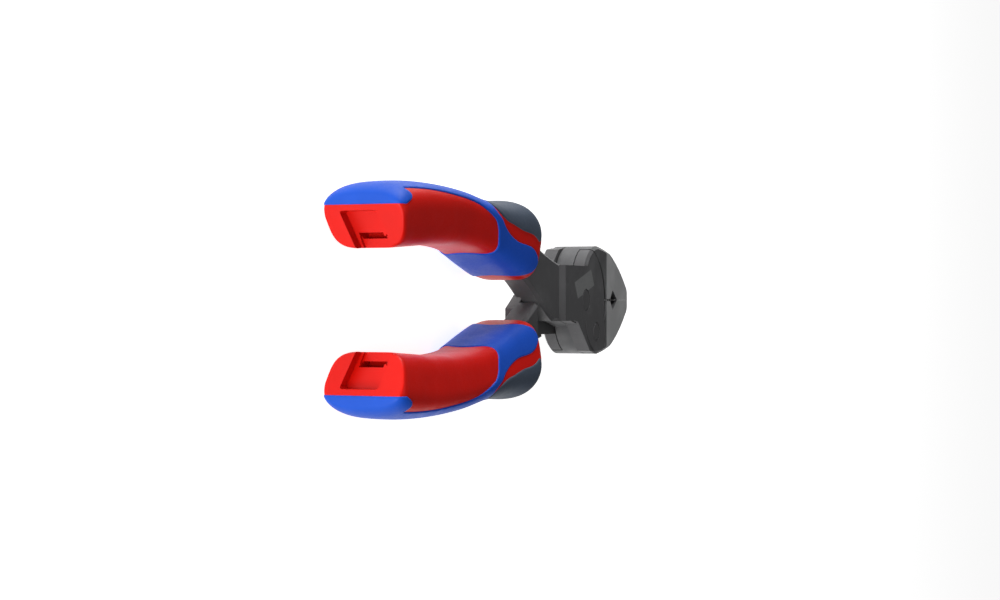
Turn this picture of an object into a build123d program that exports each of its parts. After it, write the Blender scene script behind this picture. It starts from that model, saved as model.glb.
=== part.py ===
from build123d import *
import os
from math import copysign, cos, radians, sin

# Compact compound bolt cutters lying flat: X from the butts to the jaw tips, Y across the
# handles, Z the thickness. Everything below is laid out from the butts (X = 0) and from the
# mid-plane of the jaws (Z = 0), and place() moves it to the part's frame, whose origin is at
# the bottom centre of the whole tool.
overall_length = 200.0
guard_half_thickness = 12.3

# Linkage: two levers cross at the lever pivot, each pushes a jaw at its link pin, and the
# jaws turn on the jaw pivot behind the lever pivot.
lever_pivot_x = 145.0
jaw_pivot_x = 131.0
link_x = 155.0
link_y = 10.4
lever_pivot_radius = 3.5
jaw_pivot_radius = 2.5
link_pin_radius = 3.0
running_clearance = 0.06
jaw_pivot_clearance = 0.4
slot_travel = (2.1, -1.7)

# Layers through the head: jaw tongues in the middle, a lever plate on each side.
head_half_thickness = 7.6
core_half_thickness = 2.9
plate_inner = 3.2
tongue_gap = 0.15
arm_top = 6.0
arm_bottom = -1.9
crossing_x = 103.0
lap_end_x = 110.0
relief_end_x = 119.0
relief_top = -3.5
arm_end_x = 106.0

# Head outline in plan.
head_half_width = 17.8
heel_radius = 13.7
heel_centre_y = head_half_width - heel_radius
heel_centre_x = 157.0
tip_half_width = 3.75
tip_half_thickness = 3.0
slope_start_x = 165.0
cut_gap = 0.01
tongue_boss_radius = 6.3
hub_top_y = 11.0
hub_bottom_y = -6.6
hub_rear_x = 126.0
hub_radius = 17.5
link_boss_radius = 8.5
hub_sweep_radius = 23.0
part_gap = 0.35
rim_bevel_width = 1.0
rim_bevel_depth = 0.8
notch_half_width = 3.4
notch_floor = 2.0
groove_rear_top = 1.0
groove_front_top = 0.0
groove_half_width = 5.0
arm_chamfer = 0.9
hub_step = head_half_thickness - arm_top
pin_chamfer = 0.3

# Grip: spine and section sizes from the butt to the guard.
grip_length = 95.0
tang_front_x = 92.0
tang_end_x = 20.0
tang_half_thickness = 3.0
grip_stations = (
    # x, inner y, outer y, half thickness
    (3.0, 13.9, 29.9, 11.0),
    (18.0, 14.4, 31.0, 11.1),
    (33.0, 14.9, 31.2, 11.0),
    (48.0, 14.6, 30.7, 10.8),
    (63.0, 12.6, 29.6, 10.9),
    (78.0, 9.0, 28.7, 11.7),
    (92.0, 6.0, 29.3, 12.3),
)
butt_end = (0.0, 15.4, 28.0, 9.4)
guard_end = (grip_length, 7.6, 27.6, 11.0)
palm_power = 2 / 2.5
inner_power = 2 / 4.2
palm_flare = 0.14
side_scale = 0.978
section_points = 28


def place(shape):
    """Moves a shape from the butt frame to the part's frame."""
    return Pos(-overall_length / 2, 0, guard_half_thickness) * shape


def turned(shape):
    """The same piece turned half a turn about the tool's long axis."""
    return Rot(180, 0, 0) * shape


def slab(sketch, low, high):
    """A flat sketch made solid between two heights."""
    return Pos(0, 0, low) * extrude(sketch, amount=high - low)


def disc(x, y, radius):
    return Pos(x, y) * Circle(radius)


def block(x_low, x_high, y_low, y_high):
    return Pos((x_low + x_high) / 2, (y_low + y_high) / 2) * Rectangle(x_high - x_low, y_high - y_low)


def chamfered_slab(sketch, low, high, size):
    """A slab with its upper and lower edges chamfered at 45 degrees."""
    solid = slab(sketch, low, high)
    rims = solid.faces().sort_by(Axis.Z)
    return chamfer(rims[0].edges() + rims[-1].edges(), size)


def heel_point(angle, inset=0):
    """A point on the round heel of the head, or inside it by the inset."""
    x = heel_centre_x + (heel_radius - inset) * cos(radians(angle))
    y = heel_centre_y + (heel_radius - inset) * sin(radians(angle))
    return (x, y)


def head_outline():
    """Upper half of the head in plan, from the tongue to the tip."""
    heel = ThreePointArc(heel_point(160), heel_point(125), heel_point(90))
    cheek = ThreePointArc(heel_point(90), (179.6, 12.7), (overall_length - 0.8, tip_half_width))
    tip = Line((overall_length - 0.8, tip_half_width), (overall_length, tip_half_width - 1.2))
    nose = Line((overall_length, tip_half_width - 1.2), (overall_length, cut_gap))
    cut = Line((overall_length, cut_gap), (jaw_pivot_x, cut_gap))
    back = Line((jaw_pivot_x, cut_gap), (jaw_pivot_x, tongue_boss_radius))
    rise = Line((jaw_pivot_x, tongue_boss_radius), heel_point(160))
    return make_face([heel, cheek, tip, nose, cut, back, rise])


def rim_outline(inset):
    """Upper half of the head's rim in plan, moved inwards by the inset."""
    nose = (overall_length - inset, tip_half_width / 2)
    heel = ThreePointArc(heel_point(172, inset), heel_point(130, inset), heel_point(90, inset))
    cheek = ThreePointArc(heel_point(90, inset), (179.6 - 0.3 * inset, 12.7 - 0.95 * inset), nose)
    tip = Line(nose, (nose[0], 0))
    middle = Line((nose[0], 0), (heel_point(172, inset)[0], 0))
    back = Line((heel_point(172, inset)[0], 0), heel_point(172, inset))
    return make_face([heel, cheek, tip, middle, back])


def bevelled_envelope():
    """Bounds the head plates, with the forging bevels on both faces round the outside."""
    start = head_half_thickness - rim_bevel_depth
    outer = Pos(0, 0, start) * rim_outline(0)
    inner = Pos(0, 0, head_half_thickness) * rim_outline(rim_bevel_width)
    half = loft([outer, inner], ruled=True)
    hub = slab(block(110, 150, hub_bottom_y, hub_top_y), start, head_half_thickness)
    heel = disc(heel_centre_x, -heel_centre_y, heel_radius)
    wing = slab(wing_outline() - heel, start, head_half_thickness)
    face = half + mirror(half, Plane.XZ) + hub + wing
    return face + slab(block(100, 210, -30, 30), -start, start) + turned(face)


def ground_slopes():
    """Wedges that thin the jaws from the plates' front edge to the tip."""
    long = overall_length - slope_start_x
    drop = head_half_thickness - tip_half_thickness
    profile = Polyline(
        (slope_start_x, head_half_thickness),
        (overall_length + long, head_half_thickness),
        (overall_length + long, head_half_thickness - 2 * drop),
        close=True,
    )
    wedge = extrude(Plane.XZ * make_face(profile), amount=head_half_width + 2, both=True)
    return wedge + turned(wedge)


def groove_section(x, top):
    """The groove under the cutting edges where it crosses the plane at x."""
    low = -head_half_thickness - 1
    corners = Polyline((0, top), (groove_half_width, low), (-groove_half_width, low), close=True)
    return Plane.YZ.offset(x) * make_face(corners)


def edge_groove():
    """The ground relief under the cutting edges, a groove that opens downwards."""
    rear = groove_section(slope_start_x + 1, groove_rear_top)
    front = groove_section(overall_length + 1, groove_front_top)
    return loft([rear, front])


def wire_notch():
    """The recess behind the cutting edges for thick wire, with a slit leading to it."""
    wide = notch_half_width
    lozenge = make_face(Polyline((170.5, 0), (175.0, wide), (182.5, 0), (175.0, -wide), close=True))
    slit = block(slope_start_x - 1, 172.0, -0.35, 0.35)
    recess = slab(lozenge + slit, notch_floor, head_half_thickness)
    return recess + turned(recess)


def pivot_slot():
    """Clearance for the lever pivot, which travels in the tongues as the jaws open."""
    x, y = lever_pivot_x + slot_travel[0], slot_travel[1]
    radius = lever_pivot_radius + part_gap
    ends = disc(lever_pivot_x, 0, radius) + disc(x, y, radius)
    return make_hull(ends.edges())


def hub_sweep():
    """What the round hub covers, seen from a jaw, from closed to fully open."""
    x, y = lever_pivot_x + slot_travel[0], slot_travel[1]
    radius = hub_radius + part_gap
    return disc(lever_pivot_x, 0, radius) + disc(x, y, radius)


def make_jaw(pivot_clearance, groove):
    """Upper jaw: one tongue, a thick cheek beside the upper plate, and the cutting wedge."""
    outline = head_outline()
    boss = disc(jaw_pivot_x, 0, tongue_boss_radius)
    other_boss = disc(jaw_pivot_x, 0, tongue_boss_radius + part_gap)
    upper_keep_out = hub_sweep() + block(hub_rear_x, heel_centre_x, -20, hub_top_y + 0.9)
    lower_keep_out = (
        hub_sweep()
        + disc(link_x, link_y, link_boss_radius + part_gap)
        + block(hub_rear_x, link_x, -1, head_half_width + 1)
    )
    tongue = slab((outline + boss) - pivot_slot(), tongue_gap, core_half_thickness)
    root = slab(outline - other_boss - pivot_slot(), -core_half_thickness, tongue_gap)
    cheek = slab(outline - upper_keep_out, core_half_thickness, head_half_thickness)
    keel = slab(outline - lower_keep_out, -head_half_thickness, -core_half_thickness)
    jaw = (tongue + root + cheek + keel) & bevelled_envelope()
    jaw -= ground_slopes()
    jaw -= groove
    jaw -= wire_notch()
    jaw -= slab(disc(jaw_pivot_x, 0, jaw_pivot_radius + pivot_clearance), -8, 8)
    jaw -= slab(disc(link_x, link_y, link_pin_radius + running_clearance), -8, core_half_thickness)
    return jaw


def arm_outline():
    """The lever from its tang inside the grip to the hub, in plan."""
    overlap_x = hub_rear_x + 2
    butt_top, butt_low = (tang_end_x, 26.0), (tang_end_x, 19.6)
    front_top, front_low = (overlap_x, hub_top_y), (overlap_x, hub_bottom_y)
    hub_start = (120, hub_bottom_y)
    top = Spline(butt_top, (45, 26.4), (70, 23.8), (97, 19.2), (113, 14.4), front_top)
    front = Line(front_top, front_low)
    hub = Line(front_low, hub_start)
    low = Spline(hub_start, (111, -2.2), (104, 2.0), (95, 6.6), (70, 15.6), (45, 19.4), butt_low)
    end = Line(butt_low, butt_top)
    return make_face([top, front, hub, low, end])


def wing_outline():
    """The corner of the plate behind the link pin, cut off straight towards the heel."""
    rear = (132.0, hub_bottom_y + 0.3)
    front = (link_x, hub_bottom_y + 0.3)
    cut = ((137.2, -7.0), (142.9, -11.8), (148.4, -16.6), (link_x, -17.4))
    return make_face(Polyline(rear, *cut, front, close=True))


def hub_outline():
    """The flat plate that crosses the jaws and ends round the far link pin."""
    head = head_outline()
    round_hub = disc(lever_pivot_x, 0, hub_radius)
    strip = block(hub_rear_x, slope_start_x, hub_bottom_y, hub_top_y)
    lower = (round_hub + disc(link_x, -link_y, link_boss_radius)) & (mirror(head, Plane.XZ) + strip)
    upper = round_hub & head & block(hub_rear_x + 14, slope_start_x, 0, head_half_width)
    return lower + upper + wing_outline() + block(hub_rear_x, 150.0, hub_bottom_y, hub_top_y)


def make_arm():
    """The bare arm of the upper lever behind the crossing, with its flat tang."""
    arm = chamfered_slab(arm_outline(), arm_bottom, arm_top, arm_chamfer)
    tang = arm & slab(block(0, tang_front_x, -20, 40), -tang_half_thickness, tang_half_thickness)
    stem = arm & slab(block(tang_front_x - 2, arm_end_x, -20, 40), arm_bottom, arm_top)
    lap = arm & slab(block(tang_front_x - 2, lap_end_x, -20, 40), arm_bottom, -tongue_gap)
    return tang + stem + lap


def make_hub():
    """The neck past the crossing and the plate over the jaw tongues."""
    neck = chamfered_slab(arm_outline(), arm_bottom, arm_top, arm_chamfer)
    neck &= slab(block(crossing_x, 140, -20, 40), tongue_gap, arm_top)
    neck -= slab(disc(lever_pivot_x, 0, hub_sweep_radius), -1, plate_inner)
    rear_x = hub_rear_x - hub_step
    rise = Polyline((rear_x, arm_top), (hub_rear_x, head_half_thickness), (hub_rear_x, arm_top), close=True)
    ramp = extrude(Plane.XZ.offset(-hub_bottom_y) * make_face(rise), amount=hub_bottom_y - hub_top_y)
    plate = slab(hub_outline(), plate_inner, head_half_thickness) & bevelled_envelope()
    hub = neck + ramp + plate
    hub -= slab(disc(lever_pivot_x, 0, lever_pivot_radius + running_clearance), -8, 8)
    hub -= slab(disc(link_x, -link_y, link_pin_radius + running_clearance), -8, 8)
    return hub


def make_upper_lever():
    stem = make_arm() - slab(block(arm_end_x, lap_end_x + 1, -20, 40), -10, 0)
    return stem + make_hub()


def make_lower_lever():
    """The arm mirrors the upper one, then laps under the upper lever into its own hub."""
    relief = slab(block(arm_end_x - 6, relief_end_x, -20, 20), -arm_top - 1, relief_top)
    return mirror(make_arm(), Plane.XZ) + (turned(make_hub()) - relief)


def grip_section(x, inner, outer, half):
    """Closed section: crowned on the palm side, flatter and narrower on the inner side."""
    middle, height = (inner + outer) / 2, (outer - inner) / 2
    points = []
    for step in range(section_points):
        turn = radians(360.0 * step / section_points)
        power = palm_power if sin(turn) >= 0 else inner_power
        rise = copysign(abs(sin(turn)) ** power, sin(turn))
        side = copysign(abs(cos(turn)) ** power, cos(turn))
        width = half * side_scale * (1 + palm_flare * rise)
        points.append((x, middle + height * rise, width * side))
    return make_face(Spline(*points, periodic=True))


def grip_body():
    """The whole outer form of the upper grip, with its two ends rounded over."""
    sections = [grip_section(*station) for station in grip_stations]
    butt = loft([grip_section(*butt_end), sections[0]], ruled=True)
    guard = loft([sections[-1], grip_section(*guard_end)], ruled=True)
    return butt + loft(sections) + guard


def cover_zone():
    """Plan outline of the soft back of the grip, wider at the butt and over the guard."""
    butt_edge = Polyline((-5, 24.2), (6, 24.2), (9, 27.6), (52, 27.0))
    guard_edge = Polyline((52, 27.0), (66, 23.5), (67, 12.0), (80, 4.0), (100, 4.0))
    rim = Polyline((100, 4.0), (100, 40), (-5, 40), (-5, 24.2))
    return make_face([butt_edge, guard_edge, rim])


def pad_zone():
    """Plan outline of the thumb pad on the palm side of the guard."""
    low = Polyline((72, 40), (69.5, 23.0), (73, 20.6), (82, 17.9), (100, 15.6))
    rim = Polyline((100, 15.6), (100, 40), (72, 40))
    return make_face([low, rim])


def butt_pocket():
    """Shallow recess in the butt, with a blind hole to one side of its floor."""
    recess = Pos(0.5, 18.0, 0) * Box(5.0, 7.0, 11.0)
    hole = Pos(4.0, 17.0, 3.4) * Rot(0, 90, 0) * Cylinder(1.3, 10.0)
    return recess + hole


def make_grip(body, lever):
    """Hard core, soft cover and thumb pad of the upper grip, fitted on the lever."""
    cover_block = slab(cover_zone(), -20, 20)
    pad_block = slab(pad_zone(), -20, 20)
    pad = (body & pad_block) - lever
    cover = ((body & cover_block) - pad_block) - lever
    core = ((body - cover_block) - pad_block) - lever - butt_pocket()
    return core, cover, pad


def pin(x, y, radius, low, high):
    return chamfered_slab(disc(x, y, radius), low, high, pin_chamfer)


def build_all():
    """Every piece by node name."""
    lever = make_upper_lever()
    jaw = make_jaw(jaw_pivot_clearance, edge_groove())
    lower_jaw = turned(make_jaw(running_clearance, turned(edge_groove())))
    body = grip_body()
    core, cover, pad = make_grip(body, lever)
    lower_core, lower_cover, lower_pad = (mirror(piece, Plane.XZ) for piece in (core, cover, pad))
    outer, inner = head_half_thickness, core_half_thickness
    return {
        "lever_upper": lever,
        "lever_lower": make_lower_lever(),
        "jaw_upper": jaw,
        "jaw_lower": lower_jaw,
        "lever_pivot_pin": pin(lever_pivot_x, 0, lever_pivot_radius, -outer, outer),
        "jaw_pivot_pin": pin(jaw_pivot_x, 0, jaw_pivot_radius, -inner, inner),
        "link_pin_upper": pin(link_x, link_y, link_pin_radius, -outer, inner),
        "link_pin_lower": pin(link_x, -link_y, link_pin_radius, -inner, outer),
        "grip_core_upper": core,
        "grip_cover_upper": cover,
        "thumb_pad_upper": pad,
        "grip_core_lower": lower_core,
        "grip_cover_lower": lower_cover,
        "thumb_pad_lower": lower_pad,
    }


os.makedirs("parts", exist_ok=True)
for name, solid in build_all().items():
    export_step(place(solid), "parts/" + name + ".step")
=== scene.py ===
import math

import bmesh
import bpy
import numpy as np
from mathutils import Matrix, Vector


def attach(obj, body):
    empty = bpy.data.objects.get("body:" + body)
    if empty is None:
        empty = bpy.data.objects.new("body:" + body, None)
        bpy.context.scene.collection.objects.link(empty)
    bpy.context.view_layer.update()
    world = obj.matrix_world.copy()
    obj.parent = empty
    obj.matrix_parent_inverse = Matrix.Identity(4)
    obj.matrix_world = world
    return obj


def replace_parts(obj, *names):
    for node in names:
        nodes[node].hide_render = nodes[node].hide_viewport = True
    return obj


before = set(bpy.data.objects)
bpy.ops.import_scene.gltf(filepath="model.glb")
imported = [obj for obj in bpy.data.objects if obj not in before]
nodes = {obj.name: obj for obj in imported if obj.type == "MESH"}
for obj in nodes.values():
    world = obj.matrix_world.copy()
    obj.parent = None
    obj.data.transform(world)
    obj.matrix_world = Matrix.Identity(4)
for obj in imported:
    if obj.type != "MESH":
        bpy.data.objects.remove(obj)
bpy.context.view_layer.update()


# The two levers. Each is one drop forging of tool steel: a flat cover plate for the head,
# with a rounded heel round the joint and an arm that runs back into the grip. The forging
# is ground on its flats, oiled and blackened, so it is dark with a dull satin shine.
def new_group(name, inputs, outputs):
    """An empty shader group with its named sockets, and the two ends to wire."""
    group = bpy.data.node_groups.new(name, "ShaderNodeTree")
    for socket, kind, value in inputs:
        made = group.interface.new_socket(socket, in_out="INPUT", socket_type=kind)
        made.default_value = value
    for socket, kind in outputs:
        group.interface.new_socket(socket, in_out="OUTPUT", socket_type=kind)
    start = group.nodes.new("NodeGroupInput")
    end = group.nodes.new("NodeGroupOutput")
    return group, start, end


def add_noise(tree, source, scale, detail, roughness):
    noise = tree.nodes.new("ShaderNodeTexNoise")
    noise.inputs["Detail"].default_value = detail
    noise.inputs["Roughness"].default_value = roughness
    if isinstance(scale, (int, float)):
        noise.inputs["Scale"].default_value = scale
    else:
        tree.links.new(scale, noise.inputs["Scale"])
    tree.links.new(source, noise.inputs["Vector"])
    return noise.outputs["Fac"]


def add_range(tree, value, low, high, to_low=0.0, to_high=1.0):
    ramp = tree.nodes.new("ShaderNodeMapRange")
    ramp.interpolation_type = "SMOOTHSTEP"
    ramp.inputs["From Min"].default_value = low
    ramp.inputs["From Max"].default_value = high
    for name, end in (("To Min", to_low), ("To Max", to_high)):
        if isinstance(end, (int, float)):
            ramp.inputs[name].default_value = end
        else:
            tree.links.new(end, ramp.inputs[name])
    tree.links.new(value, ramp.inputs["Value"])
    return ramp.outputs["Result"]


def add_mix(tree, factor, first, second):
    mix = tree.nodes.new("ShaderNodeMix")
    mix.data_type = "RGBA"
    for socket, value in ((mix.inputs[0], factor), (mix.inputs[6], first), (mix.inputs[7], second)):
        if isinstance(value, (int, float, tuple)):
            socket.default_value = value
        else:
            tree.links.new(value, socket)
    return mix.outputs[2]


def add_math(tree, operation, first, second=0.0):
    node = tree.nodes.new("ShaderNodeMath")
    node.operation = operation
    for socket, value in zip(node.inputs, (first, second)):
        if isinstance(value, (int, float)):
            socket.default_value = value
        else:
            tree.links.new(value, socket)
    return node.outputs[0]


def make_blackened_steel_group():
    """Blotchy dark oxide over ground steel with fine scratches, and painted light: walls and tilted faces
    made paler by which way they face.
    """
    group, start, end = new_group(
        "blackened_steel",
        (
            ("Oxide", "NodeSocketColor", (0.05, 0.052, 0.052, 1)),
            ("Bare_And_Painted_Light", "NodeSocketColor", (0.12, 0.125, 0.125, 1)),
            ("Wall_Painted_Light", "NodeSocketFloat", 0.5),
            ("Slope", "NodeSocketFloat", 0.5),
            ("Grain", "NodeSocketFloat", 900.0),
        ),
        (("Color", "NodeSocketColor"), ("Roughness", "NodeSocketFloat"), ("Height", "NodeSocketFloat")),
    )
    place = group.nodes.new("ShaderNodeTexCoord").outputs["Object"]
    stretch = group.nodes.new("ShaderNodeMapping")
    stretch.inputs["Scale"].default_value = (1.0, 0.12, 1.0)
    group.links.new(place, stretch.inputs["Vector"])
    scratches = add_noise(group, stretch.outputs["Vector"], start.outputs["Grain"], 3.0, 0.6)
    blotches = add_noise(group, place, 70.0, 4.0, 0.6)
    grit = add_noise(group, place, 4200.0, 2.0, 0.5)
    facing = group.nodes.new("ShaderNodeNewGeometry")
    split = group.nodes.new("ShaderNodeSeparateXYZ")
    group.links.new(facing.outputs["Normal"], split.inputs["Vector"])
    upright = add_math(group, "ABSOLUTE", split.outputs["Z"])
    # Painted light: walls and slightly tilted faces are picked by which way they face and mixed towards the
    # paler colour, standing in for light falling on them.
    wall_light_mask = add_math(group, "MULTIPLY", add_range(group, upright, 0.92, 0.7), start.outputs["Wall_Painted_Light"])
    slope_light_mask = add_math(
        group, "MULTIPLY", add_range(group, upright, 0.998, 0.99), add_range(group, upright, 0.7, 0.92)
    )
    paler = add_math(group, "ADD", wall_light_mask, add_math(group, "MULTIPLY", slope_light_mask, start.outputs["Slope"]))
    worn = add_range(group, blotches, 0.42, 0.75, 0.0, 0.16)
    scored = add_range(group, scratches, 0.6, 0.8, 0.0, 0.1)
    # The paler colour serves both real wear (rubbed blotches, scratches) and the painted light on walls and
    # slopes.
    share = add_math(group, "ADD", add_math(group, "ADD", paler, worn), scored)
    group.links.new(
        add_mix(group, share, start.outputs["Oxide"], start.outputs["Bare_And_Painted_Light"]), end.inputs["Color"]
    )
    group.links.new(add_range(group, blotches, 0.3, 0.7, 0.46, 0.36), end.inputs["Roughness"])
    group.links.new(add_math(group, "ADD", scratches, grit), end.inputs["Height"])
    return group


blackened_steel = make_blackened_steel_group()


def new_material(name):
    material = bpy.data.materials.new(name)
    material.use_nodes = True
    shader = material.node_tree.nodes["Principled BSDF"]
    return material, material.node_tree, shader


def place_group(tree, group, shader, values, depth):
    """Places a surface group in a material and wires it to the shader, bump included."""
    surface = tree.nodes.new("ShaderNodeGroup")
    surface.node_tree = group
    for name, value in values.items():
        surface.inputs[name].default_value = value
    bump = tree.nodes.new("ShaderNodeBump")
    bump.inputs["Distance"].default_value = depth
    bump.inputs["Strength"].default_value = 0.5
    tree.links.new(surface.outputs["Height"], bump.inputs["Height"])
    tree.links.new(bump.outputs["Normal"], shader.inputs["Normal"])
    tree.links.new(surface.outputs["Color"], shader.inputs["Base Color"])
    tree.links.new(surface.outputs["Roughness"], shader.inputs["Roughness"])
    return surface


def make_steel(name, oxide, bare_and_painted_light, wall_painted_light, slope_painted_light, grain, metallic):
    material, tree, shader = new_material(name)
    shader.inputs["Metallic"].default_value = metallic
    shader.inputs["Specular IOR Level"].default_value = 0.2
    values = {"Oxide": oxide, "Bare_And_Painted_Light": bare_and_painted_light, "Wall_Painted_Light": wall_painted_light, "Slope": slope_painted_light, "Grain": grain}
    place_group(tree, blackened_steel, shader, values, 0.00002)
    return material


def give(node, material):
    for each in nodes[node].material_slots:
        each.material = material


# On the levers the paler colour paints a little light onto tilted faces, chosen by which way they face; the
# walls get none.
LEVER_FINISH = {
    "oxide": (0.082, 0.082, 0.085, 1),
    "bare_and_painted_light": (0.26, 0.262, 0.268, 1),
    "wall_painted_light": 0.0,
    "slope_painted_light": 0.1,
    "grain": 900.0,
    "metallic": 0.1,
}
give("lever_lower", make_steel("lever_blackened_steel", **LEVER_FINISH))

# The etched panel: its middle on the row's plan, how far its long side is turned, half its
# length and width, how far its ends lean per width, and how soft its edge is.
PANEL_MIDDLE = (0.0434, 0.0052, 0.0)
PANEL_TURN = math.radians(15.6)
PANEL_HALF_LENGTH = 0.0082
PANEL_HALF_WIDTH = 0.003
PANEL_LEAN = 0.26
PANEL_EDGE = 0.0002


def add_etched_panel(material):
    """A plain slanted panel etched into the top face of the hub plate, paler than the oxide."""
    tree = material.node_tree
    shader = tree.nodes["Principled BSDF"]
    colour = shader.inputs["Base Color"].links[0].from_socket
    place = tree.nodes.new("ShaderNodeTexCoord").outputs["Object"]
    turn = tree.nodes.new("ShaderNodeMapping")
    turn.vector_type = "TEXTURE"
    turn.inputs["Location"].default_value = PANEL_MIDDLE
    turn.inputs["Rotation"].default_value = (0.0, 0.0, PANEL_TURN)
    tree.links.new(place, turn.inputs["Vector"])
    split = tree.nodes.new("ShaderNodeSeparateXYZ")
    tree.links.new(turn.outputs["Vector"], split.inputs["Vector"])
    lean = add_math(tree, "MULTIPLY", split.outputs["Y"], PANEL_LEAN)
    leaned = add_math(tree, "ADD", split.outputs["X"], lean)
    across = add_math(tree, "ABSOLUTE", split.outputs["Y"])
    along = add_math(tree, "ABSOLUTE", leaned)
    upward = tree.nodes.new("ShaderNodeNewGeometry").outputs["Normal"]
    facing = tree.nodes.new("ShaderNodeSeparateXYZ")
    tree.links.new(upward, facing.inputs["Vector"])
    in_width = add_range(tree, across, PANEL_HALF_WIDTH, PANEL_HALF_WIDTH - PANEL_EDGE)
    in_length = add_range(tree, along, PANEL_HALF_LENGTH, PANEL_HALF_LENGTH - PANEL_EDGE)
    inside = add_math(tree, "MULTIPLY", in_width, in_length)
    inside = add_math(tree, "MULTIPLY", inside, add_range(tree, facing.outputs["Z"], 0.9, 0.95))
    etch = add_noise(tree, place, 2600.0, 3.0, 0.6)
    share = add_math(tree, "MULTIPLY", inside, add_range(tree, etch, 0.2, 0.7, 0.55, 0.95))
    tree.links.new(add_mix(tree, share, colour, (0.2, 0.205, 0.206, 1)), shader.inputs["Base Color"])


panel_steel = make_steel("lever_panel_steel", **LEVER_FINISH)
add_etched_panel(panel_steel)
give("lever_upper", panel_steel)


# The two jaws. Each is forged and induction hardened at its edge, then ground to slopes that
# meet in the middle. They turn between the plates of the levers on the pins.
# The much paler slopes are a painted highlight: faces tilted from flat are mixed towards the pale colour by
# which way they face.
jaw_steel = make_steel(
    "jaw_ground_steel", (0.082, 0.083, 0.086, 1), (0.42, 0.425, 0.43, 1), 0.0, 0.75, 1400.0, 0.15
)
for jaw in ("jaw_upper", "jaw_lower"):
    give(jaw, jaw_steel)


# The four pins. They are turned from hard steel rod, pressed in flush and blackened with the
# levers, so only the outlines of their ends show in the head.
# Their walls and tilted faces get a little painted light, made paler by which way they face.
pin_steel = make_steel(
    "pin_turned_steel", (0.09, 0.09, 0.093, 1), (0.2, 0.2, 0.205, 1), 0.2, 0.3, 2000.0, 0.3
)
for pin in ("lever_pivot_pin", "jaw_pivot_pin", "link_pin_upper", "link_pin_lower"):
    give(pin, pin_steel)


# The hard grip cores. Each is moulded in glossy red plastic round the lever's arm: a flat
# sided, swelling bar that rises to a guard at the front, with a recess in its butt for a
# tether. The soft materials are moulded over it afterwards.
MM = 0.001
BUTT_X = -100.0
MID_Z = 12.3
GRIP_LENGTH = 95.0
GIRTH_STEPS = 76
GIRTH_SAMPLES = 481
BUTT_LEAN = 0.42
BUTT_LEAN_TOP = 24.0
BUTT_LEAN_REACH = 16.0
PALM_ROUNDNESS = 2.5
INNER_ROUNDNESS = 4.2
# Along the grip: distance from the butt, inner edge, palm edge, half thickness.
GRIP_STATIONS = np.array(
    (
        (0.0, 13.0, 29.3, 11.7),
        (15.0, 13.7, 30.7, 11.4),
        (33.0, 14.7, 31.0, 11.1),
        (48.0, 14.8, 30.3, 10.9),
        (63.0, 13.3, 28.7, 11.0),
        (78.0, 9.2, 28.4, 11.8),
        (88.0, 6.6, 29.1, 12.3),
        (95.0, 5.6, 28.6, 12.5),
    )
)


def smooth_at(x, column):
    """One measure of the grip at distance x, on a smooth curve through the stations."""
    xs, ys = GRIP_STATIONS[:, 0], GRIP_STATIONS[:, column]
    slopes = np.gradient(ys, xs)
    i = int(np.clip(np.searchsorted(xs, x) - 1, 0, len(xs) - 2))
    span = xs[i + 1] - xs[i]
    u = float(np.clip((x - xs[i]) / span, 0, 1))
    a = (2 * u**3 - 3 * u**2 + 1) * ys[i] + (u**3 - 2 * u**2 + u) * span * slopes[i]
    b = (3 * u**2 - 2 * u**3) * ys[i + 1] + (u**3 - u**2) * span * slopes[i + 1]
    return a + b


def end_drop(distance, reach, depth):
    """How far the skin has drawn in at a distance from an end rounded over reach."""
    u = np.clip(1 - distance / reach, 0, 1)
    return depth * (1 - np.sqrt(1 - u**2))


def girth(x, shrink=1.0):
    """Half of the skin round the grip at x, from the palm crown down to the inner edge."""
    inner, outer, half = (smooth_at(x, k) for k in (1, 2, 3))
    turn = np.radians(np.linspace(90, -90, GIRTH_SAMPLES))
    power = np.where(np.sin(turn) >= 0, 2 / PALM_ROUNDNESS, 2 / INNER_ROUNDNESS)
    rise = np.sign(np.sin(turn)) * np.abs(np.sin(turn)) ** power
    side = np.abs(np.cos(turn)) ** power
    palm = np.clip(rise, 0, 1)
    drop = end_drop(x, 2.5 + 4.5 * palm, 0.5 + 2.2 * palm)
    drop = drop + end_drop(GRIP_LENGTH - x, 3.0 + 7.0 * palm, 1.3 + 3.2 * palm)
    middle = (inner + outer) / 2
    y = middle + ((outer - inner) / 2 - drop) * rise * shrink
    z = (half - drop) * 0.978 * (1 + 0.14 * rise) * side * shrink
    near_butt = np.clip(1 - x / BUTT_LEAN_REACH, 0, 1) ** 1.5
    lean = BUTT_LEAN * np.clip(BUTT_LEAN_TOP - y, 0, None) * near_butt
    return x + lean, y, z


END_ROUNDING = 3.0
RING_SPACING = 0.65
END_RINGS = (0.03, 0.2, 0.4, 0.6, 0.75, 0.87, 0.95)


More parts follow.
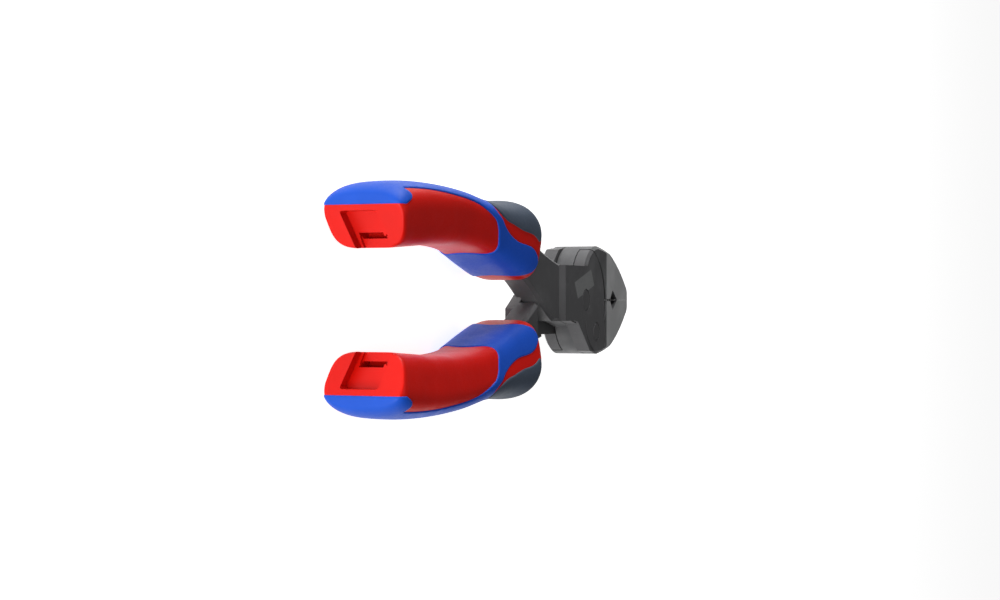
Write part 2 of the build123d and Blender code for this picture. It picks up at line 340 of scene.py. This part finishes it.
def make_skin():
    """Points of the whole grip skin as rings, with each point's place in the unrolled skin."""
    runs = np.concatenate(
        (
            END_ROUNDING * (1 - np.cos(np.linspace(0, math.pi / 2, 7)))[:-1],
            np.arange(END_ROUNDING, GRIP_LENGTH - END_ROUNDING, RING_SPACING),
            GRIP_LENGTH - END_ROUNDING * (1 - np.cos(np.linspace(math.pi / 2, 0, 8))),
        )
    )
    rings = [(0.0, share) for share in END_RINGS]
    rings += [(x, 1.0) for x in runs]
    rings += [(GRIP_LENGTH, share) for share in reversed(END_RINGS)]
    turns = np.linspace(-1, 1, 2 * GIRTH_STEPS + 1)[:-1]
    places = np.abs(turns)
    signs = np.where(turns < 0, -1.0, 1.0)
    points, unrolled = [], []
    for x, shrink in rings:
        xs, ys, zs = girth(x, shrink)
        full = girth(x)
        round_full = np.concatenate(([0], np.cumsum(np.hypot(np.diff(full[1]), np.diff(full[2])))))
        around = np.concatenate(([0], np.cumsum(np.hypot(np.diff(ys), np.diff(zs)))))
        reach = places * around[-1]
        px, py, pz = (np.interp(reach, around, c) for c in (xs, ys, zs))
        points.append(np.stack((px, py, pz * signs), 1))
        unrolled.append(np.stack((px, places * round_full[-1]), 1))
    return np.array(points), np.array(unrolled)


skin_points, skin_unrolled = make_skin()


def ring_faces(ring_count, ring_size):
    """Quads between rings of the skin."""
    faces = []
    for i in range(ring_count - 1):
        for j in range(ring_size):
            k = (j + 1) % ring_size
            a, b = i * ring_size, (i + 1) * ring_size
            faces.append((a + j, b + j, b + k, a + k))
    return faces


def to_row(points, side):
    """Points along the grip to the place of the upper (1) or lower (-1) grip, in metres."""
    moved = np.array(points, float).reshape(-1, 3) * (1.0, side, 1.0) + (BUTT_X, 0.0, MID_Z)
    return moved * MM


def link_mesh(name, points, faces, material, flip=False):
    mesh = bpy.data.meshes.new(name)
    if flip:
        faces = [tuple(reversed(f)) for f in faces]
    mesh.from_pydata([tuple(p) for p in points], [], faces)
    mesh.validate()
    mesh.materials.append(material)
    for polygon in mesh.polygons:
        polygon.use_smooth = True
    piece = bpy.data.objects.new(name, mesh)
    bpy.context.scene.collection.objects.link(piece)
    return piece


def make_moulded_group():
    """Fine spark-eroded mould texture, slightly uneven colour and a little handling wear."""
    group, start, end = new_group(
        "moulded_surface",
        (
            ("Base", "NodeSocketColor", (0.5, 0.01, 0.005, 1)),
            ("Tint", "NodeSocketColor", (0.4, 0.01, 0.005, 1)),
            ("Texture", "NodeSocketFloat", 2500.0),
            ("Rough", "NodeSocketFloat", 0.4),
            ("Worn", "NodeSocketFloat", 0.3),
        ),
        (("Color", "NodeSocketColor"), ("Roughness", "NodeSocketFloat"), ("Height", "NodeSocketFloat")),
    )
    place = group.nodes.new("ShaderNodeTexCoord").outputs["Object"]
    texture = add_noise(group, place, start.outputs["Texture"], 2.0, 0.5)
    clouds = add_noise(group, place, 45.0, 3.0, 0.55)
    patches = add_noise(group, place, 160.0, 4.0, 0.6)
    group.links.new(
        add_mix(group, add_range(group, clouds, 0.3, 0.7), start.outputs["Base"], start.outputs["Tint"]),
        end.inputs["Color"],
    )
    handled = add_math(group, "MULTIPLY", add_range(group, patches, 0.45, 0.7), start.outputs["Worn"])
    fine = add_math(group, "MULTIPLY", add_range(group, texture, 0.3, 0.7), 0.08)
    smoother = add_math(group, "SUBTRACT", start.outputs["Rough"], handled)
    group.links.new(add_math(group, "ADD", smoother, fine), end.inputs["Roughness"])
    group.links.new(texture, end.inputs["Height"])
    return group


moulded_surface = make_moulded_group()


def make_moulded(name, base, tint, texture, rough, worn, depth, coat):
    material, tree, shader = new_material(name)
    shader.inputs["Coat Weight"].default_value = coat
    shader.inputs["Specular IOR Level"].default_value = 0.2
    shader.inputs["Coat Roughness"].default_value = 0.25
    values = {"Base": base, "Tint": tint, "Texture": texture, "Rough": rough, "Worn": worn}
    place_group(tree, moulded_surface, shader, values, depth)
    return material


red_plastic = make_moulded(
    "red_hard_plastic", (0.62, 0.005, 0.001, 1), (0.55, 0.004, 0.001, 1), 2600.0, 0.4, 0.06, 0.00001, 0.0
)


def add_prism(cutter, outline, near, far):
    """A block of a cutter with an outline of (z, y) points, running along the grip."""
    low = [cutter.verts.new((near, y, z)) for z, y in outline]
    high = [cutter.verts.new((far, y, z)) for z, y in outline]
    cutter.faces.new(low)
    cutter.faces.new(list(reversed(high)))
    for i in range(len(outline)):
        k = (i + 1) % len(outline)
        cutter.faces.new((low[k], low[i], high[i], high[k]))


def make_recess():
    """What cuts the tether recess into a butt: a leaning box, a slot and a small hole."""
    cutter = bmesh.new()
    floor_x, step_x, slot_x = 3.6, 4.8, 9.0
    add_prism(cutter, ((-6.8, 22.6), (4.2, 22.6), (6.8, 11.0), (-3.4, 11.0)), -4.0, floor_x)
    bmesh.ops.bevel(
        cutter,
        geom=[e for e in cutter.edges if abs(e.verts[0].co.x - e.verts[1].co.x) > 1.0],
        offset=0.9,
        segments=4,
        affect="EDGES",
        profile=0.5,
    )
    add_prism(cutter, ((-4.0, 16.3), (4.8, 16.3), (6.2, 10.9), (-3.0, 10.9)), floor_x - 0.4, step_x)
    add_prism(cutter, ((-4.1, 17.2), (2.8, 17.2), (3.2, 15.7), (-3.7, 15.7)), floor_x - 0.6, slot_x)
    bmesh.ops.create_cone(
        cutter,
        cap_ends=True,
        segments=24,
        radius1=0.7,
        radius2=0.7,
        depth=8.0,
        matrix=Matrix.Translation((floor_x + 3.0, 16.2, 4.1)) @ Matrix.Rotation(math.pi / 2, 4, "Y"),
    )
    for vert in cutter.verts:
        vert.co.x += BUTT_LEAN * max(BUTT_LEAN_TOP - vert.co.y, 0.0)
    bmesh.ops.recalc_face_normals(cutter, faces=cutter.faces)
    mesh = bpy.data.meshes.new("recess_cutter")
    cutter.to_mesh(mesh)
    cutter.free()
    return mesh


def cut_away(piece, mesh, side):
    """Takes a cutter's shape, given along the grip, out of a piece for good."""
    cutter = bpy.data.objects.new("cutter", mesh)
    bpy.context.scene.collection.objects.link(cutter)
    mesh.transform(Matrix.Diagonal((MM, side * MM, MM, 1.0)))
    mesh.transform(Matrix.Translation((BUTT_X * MM, 0.0, MID_Z * MM)))
    if side < 0:
        mesh.flip_normals()
    cut = piece.modifiers.new("cut", "BOOLEAN")
    cut.operation = "DIFFERENCE"
    cut.solver = "EXACT"
    cut.use_self = True
    cut.object = cutter
    bpy.context.view_layer.update()
    graph = bpy.context.evaluated_depsgraph_get()
    result = bpy.data.meshes.new_from_object(piece.evaluated_get(graph))
    piece.modifiers.clear()
    piece.data = result
    bpy.data.objects.remove(cutter)


SHARP_ANGLE = 0.6


def make_core(name, side, body):
    """The red bar of one grip, with its tether recess, riding on its lever."""
    ring_count, ring_size = skin_points.shape[:2]
    faces = ring_faces(ring_count, ring_size)
    last_ring = (ring_count - 1) * ring_size
    faces.append(tuple(range(ring_size)))
    faces.append(tuple(reversed(range(last_ring, last_ring + ring_size))))
    core = link_mesh(name, to_row(skin_points, side), faces, red_plastic, flip=side > 0)
    cut_away(core, make_recess(), side)
    tidy = bmesh.new()
    tidy.from_mesh(core.data)
    bmesh.ops.recalc_face_normals(tidy, faces=tidy.faces)
    for face in tidy.faces:
        face.smooth = True
    for edge in tidy.edges:
        if len(edge.link_faces) == 2 and edge.calc_face_angle(0) > SHARP_ANGLE:
            edge.smooth = False
    tidy.to_mesh(core.data)
    tidy.free()
    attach(core, body)
    return core


GRIPS = (("upper", 1, "lever_upper"), ("lower", -1, "lever_lower"))
for word, side, body in GRIPS:
    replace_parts(make_core("hard_core_" + word, side, body), "grip_core_" + word)


# The soft blue covers. Each is a skin of blue elastomer moulded over the palm of the core
# from the butt to the guard, where it wraps round to the inner side. Its edge stands a
# little proud of the red and is rounded over.
SKIN_HEIGHT = 0.3
SKIN_RIM = 0.5
SKIN_ROOT = 0.25
COVER_BUTT_EDGE = 24.1
COVER_BUTT_REACH = 3.4


def round_off(corners, steps=4):
    """A closed outline with its corners rounded by cutting them over and over."""
    line = np.array(corners, float)
    for _ in range(steps):
        after = np.roll(line, -1, 0)
        line = np.stack((0.8 * line + 0.2 * after, 0.2 * line + 0.8 * after), 1).reshape(-1, 2)
    return line


def depth_inside(points, outline):
    """How deep each point lies inside an outline, negative outside."""
    start, end = outline, np.roll(outline, -1, 0)
    best = np.full(len(points), 1e9)
    inside = np.zeros(len(points), bool)
    for a, b in zip(start, end):
        step = b - a
        length = float(step @ step)
        if length < 1e-12:
            continue
        share = np.clip(((points - a) @ step) / length, 0, 1)
        gap = points - (a + share[:, None] * step)
        best = np.minimum(best, np.hypot(gap[:, 0], gap[:, 1]))
        crosses = (a[1] > points[:, 1]) != (b[1] > points[:, 1])
        if b[1] != a[1]:
            inside ^= crosses & (points[:, 0] < a[0] + (points[:, 1] - a[1]) * step[0] / (b[1] - a[1]))
    return np.where(inside, best, -best)


def score(sheet, depth, level):
    """Cuts the faces of a sheet along the line where its depth layer has one value."""
    fresh = set()
    for edge in list(sheet.edges):
        a, b = edge.verts
        da, db = a[depth] - level, b[depth] - level
        if da * db < 0:
            point = bmesh.utils.edge_split(edge, a, da / (da - db))[1]
            point[depth] = level
            fresh.add(point)
    for face in list(sheet.faces):
        marks = [v for v in face.verts if v[depth] == level]
        if len(marks) == 2 and not any(marks[0] in e.verts and marks[1] in e.verts for e in face.edges):
            bmesh.utils.face_split(face, marks[0], marks[1])


def lay_over(name, side, body, material, depths):
    """A skin moulded over the core where depths is above 0, with a rounded raised edge."""
    ring_count, ring_size = skin_points.shape[:2]
    sheet = bmesh.new()
    depth = sheet.verts.layers.float.new("depth")
    flat = skin_points.reshape(-1, 3)
    verts = [sheet.verts.new(p) for p in flat]
    for vert, value in zip(verts, depths):
        vert[depth] = float(value)
    for face in ring_faces(ring_count, ring_size):
        if max(depths[i] for i in face) > -0.5:
            sheet.faces.new([verts[i] for i in reversed(face)])
    for level in (0.0, 0.3 * SKIN_RIM, SKIN_RIM):
        score(sheet, depth, level)
    sheet.normal_update()
    outside = [f for f in sheet.faces if min(v[depth] for v in f.verts) < -1e-6]
    normals = {v: v.normal.copy() for v in sheet.verts}
    bmesh.ops.delete(sheet, geom=outside, context="FACES")
    for vert in [v for v in sheet.verts if not v.link_faces]:
        sheet.verts.remove(vert)
    sheet.verts.index_update()
    top, under = [], []
    for vert in sheet.verts:
        share = min(max(vert[depth] / SKIN_RIM, 0.0), 1.0)
        lift = SKIN_HEIGHT * math.sqrt(1 - (1 - share) ** 2)
        normal = normals[vert]
        top.append(vert.co + normal * lift)
        under.append(vert.co - normal * SKIN_ROOT)
    count = len(top)
    faces = [tuple(v.index for v in f.verts) for f in sheet.faces]
    closed = faces + [tuple(count + i for i in reversed(f)) for f in faces]
    for face in sheet.faces:
        for loop in face.loops:
            if len(loop.edge.link_faces) == 1:
                a, b = loop.vert.index, loop.link_loop_next.vert.index
                closed.append((b, a, count + a, count + b))
    sheet.free()
    places = to_row([tuple(p) for p in top + under], side)
    piece = link_mesh(name, places, closed, material, flip=side < 0)
    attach(piece, body)
    return piece


# The cover's edge in the unrolled skin: along the grip, and round it from the palm crown.
COVER_EDGE = (
    (-9, -12), (-9, 13.4), (3.4, 13.4), (5.4, 13.0), (6.4, 12.2), (6.5, 11.2), (6.0, 10.2), (5.4, 9.1),
    (8.0, 9.3), (14, 9.7), (22, 10.1), (34, 10.8), (44, 11.2), (51, 11.8), (57, 12.9), (61.5, 14.3),
    (63.8, 16.6), (65.0, 19.5), (66.3, 21.8), (66.4, 23.6), (65.2, 25.8), (63.4, 27.6), (62.6, 30),
    (62.4, 34), (62.4, 48), (84.3, 48), (84.3, 36), (86.0, 33.2), (89.5, 30.8), (91.8, 28.8),
    (92.9, 26.5), (93.2, 24.2), (91.5, 23.3), (83, 21.2), (78, 20.2), (74.0, 18.9), (70.3, 17.2),
    (67.6, 15.6), (65.6, 13.7), (62.4, 12.0), (61.2, 9.5), (60.7, 5.0), (60.6, -12),
)
skin_places = skin_unrolled.reshape(-1, 2)
along_x, height_y, _ = skin_points.reshape(-1, 3).T
cover_depth = depth_inside(skin_places, round_off(COVER_EDGE))
near_butt = np.clip((COVER_BUTT_REACH - along_x) / 2.0, 0, 1)
cover_depth = cover_depth * (1 - near_butt) + (height_y - COVER_BUTT_EDGE) * near_butt
blue_soft = make_moulded(
    "blue_soft_elastomer", (0.008, 0.075, 0.5, 1), (0.006, 0.066, 0.44, 1), 1500.0, 0.5, 0.08, 0.00002, 0.0
)
for word, side, body in GRIPS:
    cover = lay_over("soft_cover_" + word, side, body, blue_soft, cover_depth)
    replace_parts(cover, "grip_cover_" + word)


# The thumb pads. Each is a grey elastomer cap moulded on the palm side of the guard, where
# the thumb rests, with a red line of the core left round it.
PAD_EDGE = (
    (61.7, -12), (61.8, 5.0), (62.3, 9.0), (63.2, 11.2), (66.2, 13.0), (69.4, 14.3), (73.4, 15.1),
    (77, 16.1), (80.5, 17.1), (85, 18.1), (89.5, 19.1), (91.6, 19.4), (92.6, 18.6), (92.9, 17.0),
    (93.0, 14.0), (93.0, -12),
)
pad_depth = depth_inside(skin_places, round_off(PAD_EDGE))
grey_soft = make_moulded(
    "grey_soft_elastomer", (0.06, 0.078, 0.11, 1), (0.05, 0.066, 0.095, 1), 1300.0, 0.58, 0.06, 0.00003, 0.0
)
for word, side, body in GRIPS:
    pad = lay_over("guard_pad_" + word, side, body, grey_soft, pad_depth)
    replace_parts(pad, "thumb_pad_" + word)


# The bench. It is a plain pale table top, wide enough to fill the view to its edges.
BENCH_HALF = 12.0
bench_corners = [(x * BENCH_HALF, y * BENCH_HALF, 0) for x, y in ((-1, -1), (1, -1), (1, 1), (-1, 1))]
bench_mesh = bpy.data.meshes.new("bench")
bench_mesh.from_pydata(bench_corners, [], [(0, 1, 2, 3)])
bench = bpy.data.objects.new("bench", bench_mesh)
bpy.context.scene.collection.objects.link(bench)
bench_paint, _, bench_shader = new_material("bench_pale_paint")
bench_shader.inputs["Base Color"].default_value = (0.9, 0.9, 0.9, 1)
bench_shader.inputs["Roughness"].default_value = 0.9
bench_shader.inputs["Specular IOR Level"].default_value = 0.0
bench_shader.inputs["Emission Color"].default_value = (1, 1, 1, 1)
bench_shader.inputs["Emission Strength"].default_value = 0.85
bench_mesh.materials.append(bench_paint)


# The studio lights. Large soft panels stand along both sides of the tool, a third behind
# the butts and a weak one high above, under a dim even sky.
def add_panel(name, place, target, width, height, watts):
    light = bpy.data.lights.new(name, "AREA")
    light.shape = "RECTANGLE"
    light.size = width
    light.size_y = height
    light.energy = watts
    panel = bpy.data.objects.new(name, light)
    bpy.context.scene.collection.objects.link(panel)
    panel.location = place
    panel.rotation_euler = (Vector(target) - Vector(place)).to_track_quat("-Z", "Y").to_euler()


add_panel("left_panel", (0.0, 0.6, 0.16), (0.0, 0.0, 0.01), 0.7, 0.25, 4.4)
add_panel("right_panel", (0.0, -0.6, 0.16), (0.0, 0.0, 0.01), 0.7, 0.25, 0.4)
add_panel("rear_panel", (-0.78, -0.2, 0.12), (-0.05, 0.0, 0.01), 0.4, 0.2, 4.8)
add_panel("top_panel", (0.05, 0.05, 0.8), (0.05, 0.0, 0.0), 0.5, 0.5, 0.8)
world = bpy.data.worlds.new("studio")
world.use_nodes = True
world.node_tree.nodes["Background"].inputs["Color"].default_value = (1, 1, 1, 1)
world.node_tree.nodes["Background"].inputs["Strength"].default_value = 0.07
bpy.context.scene.world = world
bpy.context.scene.view_settings.view_transform = "Standard"


# The camera. It looks along the tool from behind the butts, a little above the bench.
CAMERA_TILT = math.radians(22.6)
CAMERA_PLACE = (-0.50485, 0.0, 0.21849)
CAMERA_LENS = 64.84
sine, cosine = math.sin(CAMERA_TILT), math.cos(CAMERA_TILT)
camera_data = bpy.data.cameras.new("camera")
camera_data.sensor_width = 36.0
camera_data.lens = CAMERA_LENS
camera_data.clip_start = 0.01
camera_data.clip_end = 100.0
camera = bpy.data.objects.new("camera", camera_data)
bpy.context.scene.collection.objects.link(camera)
camera.matrix_world = Matrix(
    (
        (sine, 0.0, -cosine, CAMERA_PLACE[0]),
        (0.0, 1.0, 0.0, CAMERA_PLACE[1]),
        (cosine, 0.0, sine, CAMERA_PLACE[2]),
        (0.0, 0.0, 0.0, 1.0),
    )
)
bpy.context.scene.camera = camera
